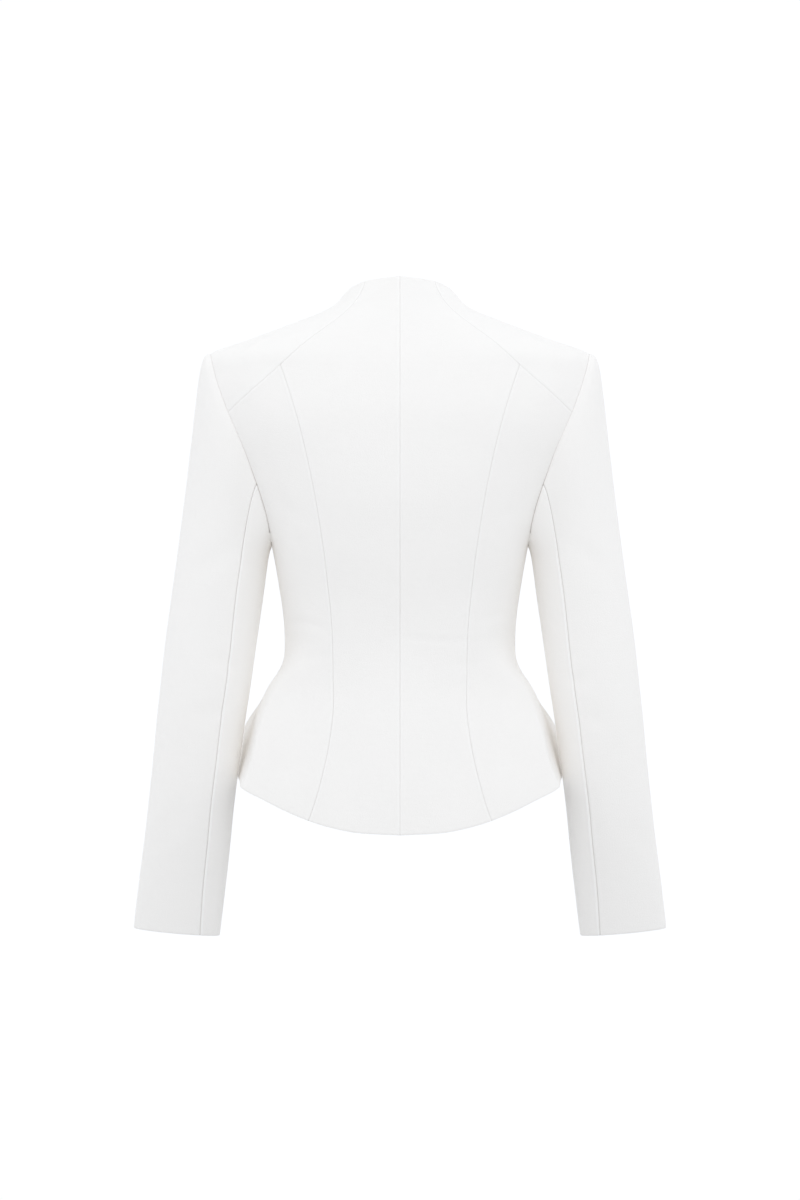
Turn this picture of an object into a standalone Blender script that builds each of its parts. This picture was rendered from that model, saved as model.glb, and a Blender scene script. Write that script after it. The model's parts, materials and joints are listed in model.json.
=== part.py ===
"""A collarless wrap blazer with a standing neck, a shoulder yoke, princess seams and a flared peplum.

The jacket is filled out as if worn, facing -Y, with +Z up and the origin between the wearer's
shoulders. Every piece is a closed wall of cloth. All sizes below are in millimetres, and they become
metres as each mesh is made.
"""

from collections import namedtuple

import bmesh
import bpy
import numpy as np

MM = 0.001

# Cloth and seams
WALL = 2.0  # bonded crepe with its fused backing
SEAM_GAP = 0.3  # between two pieces at a seam
LAP_GAP = 1.2  # between the two fronts where they cross
LAP_TOP_Z = -110  # the upper front begins to lift off the body here
LAP_RISE = 90  # and has its full lift this far below
LAP_BLEND = 0.5  # stations before the chest over which it lifts
CLOTH_COLOUR = (0.86, 0.855, 0.845, 1.0)
CLOTH_ROUGHNESS = 0.85
SHARP_ANGLE = np.radians(50)  # a wall's edges are sharp, and its face is smooth

# The body at a level z, as half a ring on the wearer's left. It runs from the centre back through
# the shoulder blade, the side and the chest to the centre front. fold sharpens the ring at the
# blade point and flattens it from there to the side: 0 is round, and 1 is a crease.
Section = namedtuple("Section", "z back_y blade_x blade_y side_x side_y chest_x chest_y front_y fold")
BODY = (
    Section(64, 46, 28, 34, 40, 3, 28, -24, -36, 0),
    Section(50, 50, 35, 36, 50, 4, 35, -26, -40, 0),
    Section(40, 54, 42, 40, 60, 4, 42, -29, -46, 0),
    Section(30, 58, 48, 43, 68.5, 5, 48, -34, -52, 0),
    Section(24, 61, 55, 46, 77.5, 6, 55, -38, -56, 0),
    Section(10, 67, 76, 54, 112, 7, 76, -46, -63, 0),
    Section(-10, 76, 107, 65, 165.5, 8, 104, -58, -73, 0),
    Section(-24, 82, 128, 71, 202.5, 8, 123, -66, -79, 0),
    Section(-32, 85, 131, 73, 208, 8, 126, -68, -82, 0),
    Section(-60, 92, 135, 79, 211, 7, 129, -75, -91, 0),
    Section(-100, 98, 131, 84, 204, 5, 126, -82, -103, 0),
    Section(-150, 99, 120, 81, 180, 2, 118, -88, -115, 0),
    Section(-190, 97, 113, 76, 159, 0, 112, -91, -120, 0),
    Section(-215, 93, 109, 72, 144.5, -1, 109, -91, -121, 0),
    Section(-229, 91, 107, 70, 137.5, -2, 108, -91, -120, 0),
    Section(-260, 86, 102, 64, 132, -3, 103, -82, -113, 0),
    Section(-290, 81, 97, 59, 127, -4, 97, -75, -105, 0),
    Section(-330, 77, 94, 56, 123.5, -5, 92, -69, -98, 0),
    Section(-352, 78, 104, 52, 125, -6, 95, -71, -99, 0.05),
    Section(-384, 82, 135.5, 43, 140.5, -16, 108, -78, -104, 0.5),
    Section(-416, 88, 148, 50, 163.5, -36, 120, -88, -110, 0.82),
    Section(-438, 92, 154.5, 55, 173, -46, 126, -94, -114, 0.9),
    Section(-460, 96, 160.5, 59, 176.5, -50, 128, -97, -117, 0.92),
    Section(-486, 100.5, 170, 63, 177, -52, 131.5, -101.5, -120.5, 0.92),
    Section(-545, 108, 190, 69, 192, -54, 136, -108, -127, 0.92),
)
CENTRE_BACK, BLADE, SIDE, CHEST, CENTRE_FRONT = 0, 1, 2, 3, 4  # stations round the half ring
FULL_RING = 2 * CENTRE_FRONT

# Lines that the cutter draws on the body. x is from the centre plane, and it is negative past the
# centre front, on the wearer's other side.
Mark = namedtuple("Mark", "x z")
PRINCESS = (
    Mark(97, -523), Mark(88, -495), Mark(76, -445), Mark(70.5, -400), Mark(71.5, -330), Mark(77, -265),
    Mark(88, -187), Mark(103, -115), Mark(119, -60), Mark(126.5, -39),
)
YOKE_SEAM_BACK = (
    Mark(126.5, -39), Mark(140, -51), Mark(160, -68), Mark(182.5, -88),
)
YOKE_SEAM_NECK = (
    Mark(126.5, -39), Mark(98, -13), Mark(68, 10), Mark(49, 28), Mark(41, 41), Mark(37, 53),
)
ARMHOLE_BACK = (
    Mark(137.5, -229), Mark(139, -212), Mark(144, -190), Mark(151, -168), Mark(166, -126),
    Mark(182.5, -88), Mark(193, -60), Mark(199, -40), Mark(202.5, -24),
)
ARMHOLE_FRONT = (
    Mark(137.5, -229), Mark(139, -212), Mark(144, -190), Mark(150, -168), Mark(164, -126),
    Mark(180, -88), Mark(191, -60), Mark(198, -40), Mark(202.5, -24),
)
FRONT_EDGE = (
    Mark(-91, -505), Mark(-90, -455), Mark(-87, -410), Mark(-81, -366), Mark(-69, -325), Mark(-51, -290),
    Mark(-27, -253), Mark(0, -213), Mark(20, -165), Mark(38, -105), Mark(50, -55), Mark(58, -12),
)
NECK_EDGE = (
    Mark(58, -12), Mark(60, 6), Mark(59, 22), Mark(56.5, 35), Mark(53.2, 46.8),
)
BACK_YOKE_END_Z = -88  # where the yoke seam meets the armhole behind
FRONT_YOKE_END_Z = -60  # and in front
SLEEVE_SEAM_BACK_Z = -165  # where the sleeve's seams meet the armhole
SLEEVE_SEAM_FRONT_Z = -160
FOLD_TOP_Z = -385  # the fold at the hip runs down from here
FOLD_FADE_Z = -300
BACK_NECK_Z = 57  # top of the stand at the centre back
YOKE_NECK_Z = 53  # and where the yoke begins
SIDE_NECK_Z = 46.8  # and over the shoulder line

# The bottom edge, behind as marks and from the hip fold on by station round the half ring.
HEM_BACK = (
    Mark(0, -534.5), Mark(42, -532.5), Mark(67, -528.5), Mark(92.5, -521.5), Mark(118, -511.5),
    Mark(144, -499.5), Mark(157, -492.5),
)
HemMark = namedtuple("HemMark", "station z")
HEM_FRONT = (
    HemMark(1, -485.5), HemMark(1.5, -480), HemMark(2, -478), HemMark(3, -484), HemMark(4, -489),
    HemMark(5, -484),
)

# The sleeve at a level z: the outer and inner edges seen from behind, the middle and half of its
# depth, and how far its two seams lie inside the back and the front of the arm, in degrees.
Arm = namedtuple("Arm", "z outer_x inner_x middle_y half_depth back_seam front_seam")
SLEEVE = (
    Arm(-245, 240, 141.5, -3, 56, 26.5, 28),
    Arm(-290, 246, 147.5, -1, 52.5, 26, 36),
    Arm(-331, 251.5, 153.5, 2, 49, 28.5, 44),
    Arm(-374, 256, 159.5, 5, 46, 29, 48),
    Arm(-416, 260.5, 166, 6, 43.5, 29, 50),
    Arm(-460, 264.5, 172, 6, 41, 29.5, 50),
    Arm(-502, 269, 177.5, 4, 39, 29.5, 50),
    Arm(-545, 274, 182, -1, 37, 30, 50),
    Arm(-588, 280, 187, -9, 35, 30.5, 50),
    Arm(-645, 287, 194.5, -20, 33, 35, 50),
)
CUFF_SLANT = 0.09  # the cuff falls towards the body
HEAD_REACH = 16.0  # how far the sleeve head runs out before it drops
HEAD_OUT, HEAD_UP = 1.0, 0.1  # its direction where it leaves the armhole at the shoulder tip
UNDERARM_REACH = 4.0
UNDERARM_OUT, UNDERARM_UP = 0.35, -0.95
DEPTH_OUT = 0.35  # and how much it leaves backwards and forwards
HEAD_DROP = 0.86  # how high the straight of the arm reaches up under the head
UNDERARM_DROP = 0.3
UNDERARM_CROWDING = 1.7  # over 1 keeps the underarm's columns close to the seams

# Rows and columns of each piece's walls
ROWS_HEM_TO_UNDERARM = 12
ROWS_UNDERARM_TO_SLEEVE_SEAM = 4
ROWS_SLEEVE_SEAM_TO_YOKE = 4
ROWS_YOKE_TO_NECK = 7
COLUMNS_BACK = 6
COLUMNS_BACK_SIDE = 8
COLUMNS_OVER_SHOULDER = 8
ROWS_SLEEVE_HEAD = 8
ROWS_ARM = 12
EVEN_ROUNDS = 6  # how gently the rows inside a piece follow a corner in its side
CORNER_REACH = 2  # over 1 keeps such a corner near the piece's edge
DENSE = 400  # points used to measure along a line
STEP_STATION, STEP_Z = 0.01, 0.5  # steps used to measure the slope of the body


def unit(vectors):
    """Vectors scaled to length 1."""
    return vectors / np.linalg.norm(vectors, axis=-1, keepdims=True)


def ease(t):
    """0 to 1 with a level start and end."""
    t = np.clip(t, 0, 1)
    return t * t * (3 - 2 * t)


def smooth_table(knots, values):
    """A smooth curve through the values that never overshoots them."""
    knots, values = np.asarray(knots, float), np.asarray(values, float)
    order = np.argsort(knots)
    knots, values = knots[order], values[order]
    width = np.diff(knots)
    rise = np.diff(values) / width
    slope = np.concatenate([rise[:1], np.zeros(len(knots) - 2), rise[-1:]])
    turns = rise[:-1] * rise[1:] <= 0
    w1, w2 = 2 * width[1:] + width[:-1], width[1:] + 2 * width[:-1]
    safe = np.where(turns, 1, rise[:-1]), np.where(turns, 1, rise[1:])
    slope[1:-1] = np.where(turns, 0, (w1 + w2) / (w1 / safe[0] + w2 / safe[1]))

    def value(at):
        at = np.asarray(at, float)
        i = np.clip(np.searchsorted(knots, at) - 1, 0, len(width) - 1)
        t = (at - knots[i]) / width[i]
        leave, arrive = slope[i] * width[i], slope[i + 1] * width[i]
        inside = hermite(values[i], values[i + 1], leave, arrive, np.clip(t, 0, 1))
        below = np.minimum(at - knots[0], 0) * slope[0]
        above = np.maximum(at - knots[-1], 0) * slope[-1]
        return inside + below + above

    return value


def hermite(start, end, start_slope, end_slope, t):
    """A cubic between two values with the slopes given."""
    return (
        start * (1 + 2 * t) * (1 - t) ** 2
        + end * t * t * (3 - 2 * t)
        + start_slope * t * (1 - t) ** 2
        + end_slope * t * t * (t - 1)
    )


def columns_of(table):
    """One smooth curve over z for each column of a table."""
    levels = [row.z for row in table]
    names = table[0]._fields[1:]
    return {name: smooth_table(levels, [getattr(row, name) for row in table]) for name in names}


BODY_COLUMNS = columns_of(BODY)
SLEEVE_COLUMNS = columns_of(SLEEVE)


def ring_stations(z):
    """The five points of the half ring at each z, then the slope at each, as (x, y)."""
    at = {name: column(z) for name, column in BODY_COLUMNS.items()}
    zero = np.zeros_like(at["back_y"])
    points = [
        (zero, at["back_y"]),
        (at["blade_x"], at["blade_y"]),
        (at["side_x"], at["side_y"]),
        (at["chest_x"], at["chest_y"]),
        (zero, at["front_y"]),
    ]
    slopes = [(at["blade_x"], zero)]
    for before, after in zip(points[:-2], points[2:]):
        slopes.append(((after[0] - before[0]) / 2, (after[1] - before[1]) / 2))
    slopes.append((-at["chest_x"], zero))
    slopes[BLADE] = tuple(s * (1 - at["fold"]) for s in slopes[BLADE])
    straight = (at["side_x"] - at["blade_x"]) / 2
    slopes[SIDE] = (slopes[SIDE][0] * (1 - at["fold"]) + straight * at["fold"], slopes[SIDE][1])
    return np.array(points), np.array(slopes)


def body_point(station, z):
    """The outside of the body at a station round the ring and a level z."""
    station, z = np.broadcast_arrays(np.asarray(station, float), np.asarray(z, float))
    past_front = station > CENTRE_FRONT
    past_back = station < CENTRE_BACK
    own = np.where(past_front, FULL_RING - station, np.abs(station))
    points, slopes = ring_stations(z)
    i = np.clip(own.astype(int), 0, CENTRE_FRONT - 1)
    t = own - i

    def along(axis):
        def pick(rows, k):
            return np.take_along_axis(rows[:, axis], k[None], 0)[0]

        return hermite(pick(points, i), pick(points, i + 1), pick(slopes, i), pick(slopes, i + 1), t)

    x = along(0) * np.where(past_front | past_back, -1, 1)
    return np.stack([x, along(1), z], axis=-1)


def body_normal(station, z):
    """The direction out of the body there."""
    across = body_point(station + STEP_STATION, z) - body_point(station - STEP_STATION, z)
    up = body_point(station, z + STEP_Z) - body_point(station, z - STEP_Z)
    return unit(np.cross(up, across))


def station_at(x, z, in_front):
    """The station where the ring at z passes x, behind or in front of the side."""
    if x < 0:
        return FULL_RING - station_at(-x, z, in_front)
    fine = np.linspace(SIDE, CENTRE_FRONT if in_front else CENTRE_BACK, DENSE)
    reach = body_point(fine, np.full(DENSE, float(z)))[:, 0]
    widest = int(reach.argmax())
    return float(np.interp(-x, -reach[widest:], fine[widest:]))


def hem_table():
    """The level of the bottom edge over the stations."""
    behind = [HemMark(station_at(mark.x, mark.z, in_front=False), mark.z) for mark in HEM_BACK]
    marks = [*behind, *HEM_FRONT]
    return smooth_table([mark.station for mark in marks], [mark.z for mark in marks])


HEM_LINE = hem_table()


def line_on_body(marks, in_front):
    """A smooth line through marks, as many (station, z) points close together."""
    marks = np.array(marks, float)
    along = np.concatenate([[0], np.cumsum(np.linalg.norm(np.diff(marks, axis=0), axis=1))])
    at = np.linspace(0, along[-1], DENSE)
    x, z = (smooth_table(along, marks[:, k])(at) for k in (0, 1))
    return np.array([(station_at(a, b, in_front), b) for a, b in zip(x, z)])


def spread(line, count):
    """count + 1 points of a line, evenly spaced along it on the body."""
    points = body_point(line[:, 0], line[:, 1])
    along = np.concatenate([[0], np.cumsum(np.linalg.norm(np.diff(points, axis=0), axis=1))])
    at = np.linspace(0, along[-1], count + 1)
    return np.stack([np.interp(at, along, line[:, k]) for k in (0, 1)], axis=1)


def cut_at_z(line, low, high):
    """The stretch of a rising line between two levels."""
    ends = [(np.interp(z, line[:, 1], line[:, 0]), z) for z in (low, high)]
    inside = line[(line[:, 1] > low) & (line[:, 1] < high)]
    return np.concatenate([ends[:1], inside, ends[1:]])


def at_levels(line, levels):
    """The points of a rising line at the levels given."""
    return np.stack([np.interp(levels, line[:, 1], line[:, 0]), levels], axis=1)


def joined(*lines):
    """Lines end to end, each shared point once."""
    return np.concatenate([lines[0], *(line[1:] for line in lines[1:])])


def hem_between(first, last, count):
    """The bottom edge from one station to another."""
    stations = np.linspace(first, last, count + 1)
    return np.stack([stations, HEM_LINE(stations)], axis=1)


def evened(side):
    """A side's points with its corners rounded off and its ends kept."""
    soft = side.copy()
    for _ in range(EVEN_ROUNDS):
        soft[1:-1] = (soft[:-2] + 2 * soft[1:-1] + soft[2:]) / 4
    return soft


def patch(bottom, top, left, right):
    """A grid of (station, z) points filling four edges, whose rows run evenly away from the sides."""
    across = np.linspace(0, 1, len(bottom))[None, :, None]
    up = np.linspace(0, 1, len(left))[:, None, None]
    soft_left, soft_right = evened(left), evened(right)
    between_sides = (1 - across) * soft_left[:, None] + across * soft_right[:, None]
    between_ends = (1 - up) * bottom[None] + up * top[None]
    corners = (1 - up) * ((1 - across) * bottom[0] + across * bottom[-1]) + up * (
        (1 - across) * top[0] + across * top[-1]
    )
    to_left = (1 - across) ** CORNER_REACH * (left - soft_left)[:, None]
    to_right = across**CORNER_REACH * (right - soft_right)[:, None]
    return between_sides + between_ends - corners + to_left + to_right


def body_skin(grid, lift=None):
    """Points and normals of a body piece, lifted off the body where it laps over another."""
    station, z = grid[..., 0], grid[..., 1]
    points, normals = body_point(station, z), body_normal(station, z)
    if lift is not None:
        points = points + normals * lift(station, z)[..., None]
    return points, normals


def draw_in(points, distance):
    """How far each edge point moves into its own piece, to leave half a seam's gap."""
    moved = np.zeros_like(points)
    for axis in (0, 1):
        grid, shift = (points, moved) if axis == 0 else (points.swapaxes(0, 1), moved.swapaxes(0, 1))
        for edge, inner in ((0, 1), (-1, -2)):
            along = unit(np.gradient(grid[edge], axis=0))
            inward = grid[inner] - grid[edge]
            inward = inward - (inward * along).sum(-1, keepdims=True) * along
            shift[edge] += unit(inward) * distance
    return moved


def cloth_material(name):
    """Matt white crepe."""
    material = bpy.data.materials.new(name)
    material.use_nodes = True
    shader = material.node_tree.nodes["Principled BSDF"]
    shader.inputs["Base Color"].default_value = CLOTH_COLOUR
    shader.inputs["Roughness"].default_value = CLOTH_ROUGHNESS
    shader.inputs["Metallic"].default_value = 0.0
    return material


def cloth_piece(name, points, normals, mirrored):
    """A closed wall: the outside through the points, the inside a wall's thickness within."""
    outside = points + draw_in(points, SEAM_GAP / 2)
    inside = outside - normals * WALL
    to_side = np.array([-1 if mirrored else 1, 1, 1])
    rows, columns = points.shape[:2]
    shell = bmesh.new()
    for skin in (outside, inside):
        sheet = bmesh.ops.create_grid(shell, x_segments=columns - 1, y_segments=rows - 1)
        for vertex, place in zip(sheet["verts"], skin.reshape(-1, 3)):
            vertex.co = place * to_side * MM
    bmesh.ops.bridge_loops(shell, edges=[edge for edge in shell.edges if edge.is_boundary])
    bmesh.ops.recalc_face_normals(shell, faces=shell.faces)
    mesh = bpy.data.meshes.new(name)
    shell.to_mesh(mesh)
    shell.free()
    mesh.shade_smooth()
    mesh.set_sharp_from_angle(angle=SHARP_ANGLE)
    mesh.materials.append(cloth_material(name + "_crepe"))
    piece = bpy.data.objects.new(name, mesh)
    bpy.context.scene.collection.objects.link(piece)


class BodySeams:
    """Every seam and edge of the body as (station, z) points, so that the pieces share them."""

    def __init__(self):
        armhole_back = line_on_body(ARMHOLE_BACK, in_front=False)
        armhole_front = line_on_body(ARMHOLE_FRONT, in_front=True)
        front_edge = line_on_body(FRONT_EDGE, in_front=True)
        princess = line_on_body(PRINCESS, in_front=False)
        yoke_neck = line_on_body(YOKE_SEAM_NECK, in_front=False)
        yoke_arm = line_on_body(YOKE_SEAM_BACK, in_front=False)
        underarm_z, tip_z = ARMHOLE_BACK[0].z, ARMHOLE_BACK[-1].z

        def armhole_stretch(line, low, high, count):
            return spread(cut_at_z(line, low, high), count)

        under = ROWS_UNDERARM_TO_SLEEVE_SEAM
        over = ROWS_SLEEVE_SEAM_TO_YOKE
        tip = COLUMNS_OVER_SHOULDER // 2
        self.back_under = armhole_stretch(armhole_back, underarm_z, SLEEVE_SEAM_BACK_Z, under)
        self.back_over = armhole_stretch(armhole_back, SLEEVE_SEAM_BACK_Z, BACK_YOKE_END_Z, over)
        self.back_tip = armhole_stretch(armhole_back, BACK_YOKE_END_Z, tip_z, tip)
        self.front_under = armhole_stretch(armhole_front, underarm_z, SLEEVE_SEAM_FRONT_Z, under)
        self.front_over = armhole_stretch(armhole_front, SLEEVE_SEAM_FRONT_Z, FRONT_YOKE_END_Z, over)
        self.front_tip = armhole_stretch(armhole_front, FRONT_YOKE_END_Z, tip_z, tip)

        side_levels = np.linspace(HEM_LINE(SIDE), underarm_z, ROWS_HEM_TO_UNDERARM + 1)
        self.side = np.stack([np.full_like(side_levels, SIDE), side_levels], axis=1)
        princess[0, 1] = HEM_LINE(princess[0, 0])
        self.princess = spread(princess, ROWS_HEM_TO_UNDERARM + under + over)
        self.yoke_arm = spread(yoke_arm, COLUMNS_BACK_SIDE)
        self.yoke_neck = spread(yoke_neck, ROWS_YOKE_TO_NECK)

        neck_front = line_on_body(NECK_EDGE, in_front=True)
        neck_turn = np.array([[self.yoke_neck[-1, 0], YOKE_NECK_Z], [SIDE, SIDE_NECK_Z]])
        back_of_yoke = np.linspace(0, 1, DENSE)[:, None]
        neck_back = neck_turn[0] * (1 - back_of_yoke) + neck_turn[1] * back_of_yoke
        self.neck_over_shoulder = joined(spread(neck_back, tip), spread(neck_front[::-1], tip))
        seam_levels = joined(self.princess, self.yoke_neck)[:, 1]
        centre_levels = self.rescaled(seam_levels, HEM_LINE(CENTRE_BACK), BACK_NECK_Z)
        self.centre_back = np.stack([np.full_like(centre_levels, CENTRE_BACK), centre_levels], axis=1)

        self.front_side = joined(self.side, self.front_under, self.front_over)
        edge_levels = self.rescaled(self.front_side[:, 1], HEM_LINE(front_edge[0, 0]), FRONT_EDGE[-1].z)
        self.front_edge = at_levels(front_edge, edge_levels)
        share = np.linspace(0, 1, COLUMNS_BACK_SIDE + ROWS_YOKE_TO_NECK + 1)[:, None]
        self.yoke_front = self.front_over[-1] * (1 - share) + self.front_edge[-1] * share

    @staticmethod
    def rescaled(levels, low, high):
        """Levels stretched to run from low to high."""
        return low + (levels - levels[0]) * (high - low) / (levels[-1] - levels[0])

    def back_centre(self):
        right = joined(self.princess, self.yoke_neck)
        bottom = hem_between(CENTRE_BACK, right[0, 0], COLUMNS_BACK)
        share = np.linspace(0, 1, COLUMNS_BACK + 1)[:, None]
        top = self.centre_back[-1] * (1 - share) + right[-1] * share
        return patch(bottom, top, self.centre_back, right)

    def back_side(self):
        """Two patches that meet on the fold at the hip."""
        right = joined(self.side, self.back_under, self.back_over)
        half = COLUMNS_BACK_SIDE // 2
        middle = evened((self.princess + right) / 2)
        middle[-1] = self.yoke_arm[half]
        levels = self.rescaled(middle[:, 1], HEM_LINE(BLADE), middle[-1, 1])
        above_fold = ease((levels - FOLD_TOP_Z) / (FOLD_FADE_Z - FOLD_TOP_Z))
        fold = np.stack([BLADE + (middle[:, 0] - BLADE) * above_fold, levels], axis=1)
        inner_hem = hem_between(self.princess[0, 0], BLADE, half)
        outer_hem = hem_between(BLADE, SIDE, half)
        inner = patch(inner_hem, self.yoke_arm[: half + 1], self.princess, fold)
        outer = patch(outer_hem, self.yoke_arm[half:], fold, right)
        return np.concatenate([inner, outer[:, 1:]], axis=1)

    def yoke(self):
        left = joined(self.yoke_arm[::-1], self.yoke_neck)
        bottom = joined(self.back_tip, self.front_tip[::-1])
        return patch(bottom, self.neck_over_shoulder, left, self.yoke_front)

    def front(self):
        bottom = hem_between(SIDE, self.front_edge[0, 0], COLUMNS_BACK_SIDE + ROWS_YOKE_TO_NECK)
        return patch(bottom, self.yoke_front, self.front_side, self.front_edge)

    def armhole(self):
        """The closed line that the sleeve is sewn to, from the underarm up the back and down the front."""
        ring = joined(
            self.back_under, self.back_over, self.back_tip,
            self.front_tip[::-1], self.front_over[::-1], self.front_under[::-1],
        )
        return ring[:-1]


def over_front_lift(station, z):
    """How far the upper front stands off the body where it lies on the under front."""
    across = ease((station - CHEST) / LAP_BLEND + 1)
    down = ease((LAP_TOP_Z - z) / LAP_RISE)
    return (WALL + LAP_GAP) * across * down


def arm_ring(z, angles):
    """Points of the sleeve at a level: angle 0 is the outside, 90 the back and 180 the inside."""
    at = {name: column(z) for name, column in SLEEVE_COLUMNS.items()}
    middle_x = (at["outer_x"] + at["inner_x"]) / 2
    half_width = (at["outer_x"] - at["inner_x"]) / 2
    x = middle_x + half_width * np.cos(angles)
    y = at["middle_y"] + at["half_depth"] * np.sin(angles)
    slant = CUFF_SLANT * (z - SLEEVE[0].z) / (SLEEVE[-1].z - SLEEVE[0].z)
    return np.stack([x, y, z + slant * (x - middle_x)], axis=-1)


def arm_angles(z):
    """The angle of each column round the sleeve, so that two of them follow its seams."""
    seam_back = np.radians(90 + SLEEVE_COLUMNS["back_seam"](z))
    seam_front = np.radians(270 - SLEEVE_COLUMNS["front_seam"](z))
    under = ROWS_UNDERARM_TO_SLEEVE_SEAM
    over = ROWS_SLEEVE_SEAM_TO_YOKE + COLUMNS_OVER_SHOULDER // 2
    share = np.linspace(0, 1, under + 1) ** UNDERARM_CROWDING
    inside = (seam_back + (np.pi - seam_back) * share)[::-1]
    back = np.linspace(seam_back, 0, over + 1)
    front = np.linspace(2 * np.pi, seam_front, over + 1) - 2 * np.pi
    rest = seam_front + (np.pi - seam_front) * share - 2 * np.pi
    return np.concatenate([inside, back[1:], front[1:], rest[1:-1]])


def sleeve_tube(armhole):
    """Points and normals of the whole sleeve, a row for each ring from the cuff up to the armhole."""
    start = body_point(armhole[:, 0], armhole[:, 1])
    angles = arm_angles(SLEEVE[0].z)
    end = arm_ring(SLEEVE[0].z, angles)
    high = (start[:, 2:] - start[:, 2:].min()) / np.ptp(start[:, 2])  # 0 at the underarm, 1 at the tip
    away = UNDERARM_OUT + (HEAD_OUT - UNDERARM_OUT) * high[:, 0]
    rise = UNDERARM_UP + (HEAD_UP - UNDERARM_UP) * high[:, 0]
    out = np.stack([away, DEPTH_OUT * np.sin(angles), rise], axis=1)
    length = np.linalg.norm(end - start, axis=1, keepdims=True)
    reach = UNDERARM_REACH + (HEAD_REACH - UNDERARM_REACH) * high
    up_arm = unit(arm_ring(SLEEVE[0].z, angles) - arm_ring(SLEEVE[1].z, angles))
    drop = length * (UNDERARM_DROP + (HEAD_DROP - UNDERARM_DROP) * high)
    control_1 = start + unit(out) * reach
    control_2 = end + up_arm * drop
    rows = []
    for t in np.linspace(0, 1, ROWS_SLEEVE_HEAD + 1):
        leaving = start * (1 - t) ** 3 + control_1 * 3 * t * (1 - t) ** 2
        arriving = control_2 * 3 * t * t * (1 - t) + end * t**3
        rows.append(leaving + arriving)
    for z in np.linspace(SLEEVE[0].z, SLEEVE[-1].z, ROWS_ARM + 1)[1:]:
        rows.append(arm_ring(z, arm_angles(z)))
    points = np.array(rows)
    wrapped = np.concatenate([points[:, -1:], points, points[:, :1]], axis=1)
    around = np.gradient(wrapped, axis=1)[:, 1:-1]
    down = np.gradient(points, axis=0)
    normals = unit(np.cross(around, down))
    return points[::-1], normals[::-1]


def sleeve_pieces(seams):
    """The top sleeve and the under sleeve, each as (points, normals)."""
    points, normals = sleeve_tube(seams.armhole())
    under = ROWS_UNDERARM_TO_SLEEVE_SEAM
    count = points.shape[1]
    top_columns = np.arange(under, count - under + 1)
    under_columns = np.arange(count - under, count + under + 1) % count
    return {
        "sleeve_top": (points[:, top_columns], normals[:, top_columns]),
        "sleeve_under": (points[:, under_columns], normals[:, under_columns]),
    }


def main():
    for old in list(bpy.data.objects):
        bpy.data.objects.remove(old)
    seams = BodySeams()
    skins = {
        "back_centre": body_skin(seams.back_centre()),
        "back_side": body_skin(seams.back_side()),
        "yoke": body_skin(seams.yoke()),
        **sleeve_pieces(seams),
    }
    for side, mirrored in (("left", False), ("right", True)):
        for name, (points, normals) in skins.items():
            cloth_piece(f"{name}_{side}", points, normals, mirrored)
    cloth_piece("front_left", *body_skin(seams.front()), mirrored=False)
    cloth_piece("front_right", *body_skin(seams.front(), over_front_lift), mirrored=True)


main()
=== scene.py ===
"""The looks of a white collarless wrap blazer, cut and sewn from matt double crepe.

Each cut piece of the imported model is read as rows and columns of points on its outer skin. It is then
drawn again as a fine sheet of cloth with rolled seams, pressed edges, darts and soft creases, and is
given back its wall. Sizes are in millimetres, and they become metres as each mesh is made.
"""

from __future__ import annotations

import json
import logging
import math
from dataclasses import dataclass
from enum import Enum

import bmesh
import bpy
import numpy as np
from mathutils import Matrix, Vector
from mathutils.kdtree import KDTree

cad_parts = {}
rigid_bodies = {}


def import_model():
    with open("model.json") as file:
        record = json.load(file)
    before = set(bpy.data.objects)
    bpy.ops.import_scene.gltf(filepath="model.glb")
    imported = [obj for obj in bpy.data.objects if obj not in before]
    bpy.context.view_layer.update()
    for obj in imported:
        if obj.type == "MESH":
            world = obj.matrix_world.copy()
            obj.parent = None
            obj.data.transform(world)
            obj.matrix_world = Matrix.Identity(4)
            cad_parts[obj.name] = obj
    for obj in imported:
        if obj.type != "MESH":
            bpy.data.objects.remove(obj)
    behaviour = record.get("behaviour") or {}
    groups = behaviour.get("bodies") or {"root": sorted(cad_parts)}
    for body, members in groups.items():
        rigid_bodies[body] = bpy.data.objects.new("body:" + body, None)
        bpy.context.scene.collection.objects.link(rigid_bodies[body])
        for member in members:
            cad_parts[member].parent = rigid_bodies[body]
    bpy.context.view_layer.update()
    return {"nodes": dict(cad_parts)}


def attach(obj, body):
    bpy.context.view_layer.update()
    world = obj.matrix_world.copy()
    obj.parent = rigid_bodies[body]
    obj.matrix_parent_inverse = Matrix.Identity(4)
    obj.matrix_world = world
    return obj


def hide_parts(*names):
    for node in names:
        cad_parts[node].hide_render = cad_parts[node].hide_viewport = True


MM = 0.001
WALL = 2.0
WALL_TOLERANCE = 0.005
WELD_DISTANCE = 0.01
PLACE_DIGITS = 6
LOG = logging.getLogger("wrap_blazer")


class Hand(Enum):
    """The half of the jacket that a piece is on, as the sign of its x."""

    LEFT = 1
    RIGHT = -1


class Edge(Enum):
    """How an edge of a cut piece is finished."""

    SEAM = "sewn to a piece of its own sub-assembly, so that creases run across it"
    JOIN = "sewn to another sub-assembly, so that creases end short of it"
    TURNED = "turned in and pressed flat"


class Field(Enum):
    """The two measures that place a crease on a piece."""

    BODY = "x from the middle plane, and z"
    SLEEVE = "length round the arm from its outside towards the back, and z"


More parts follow.
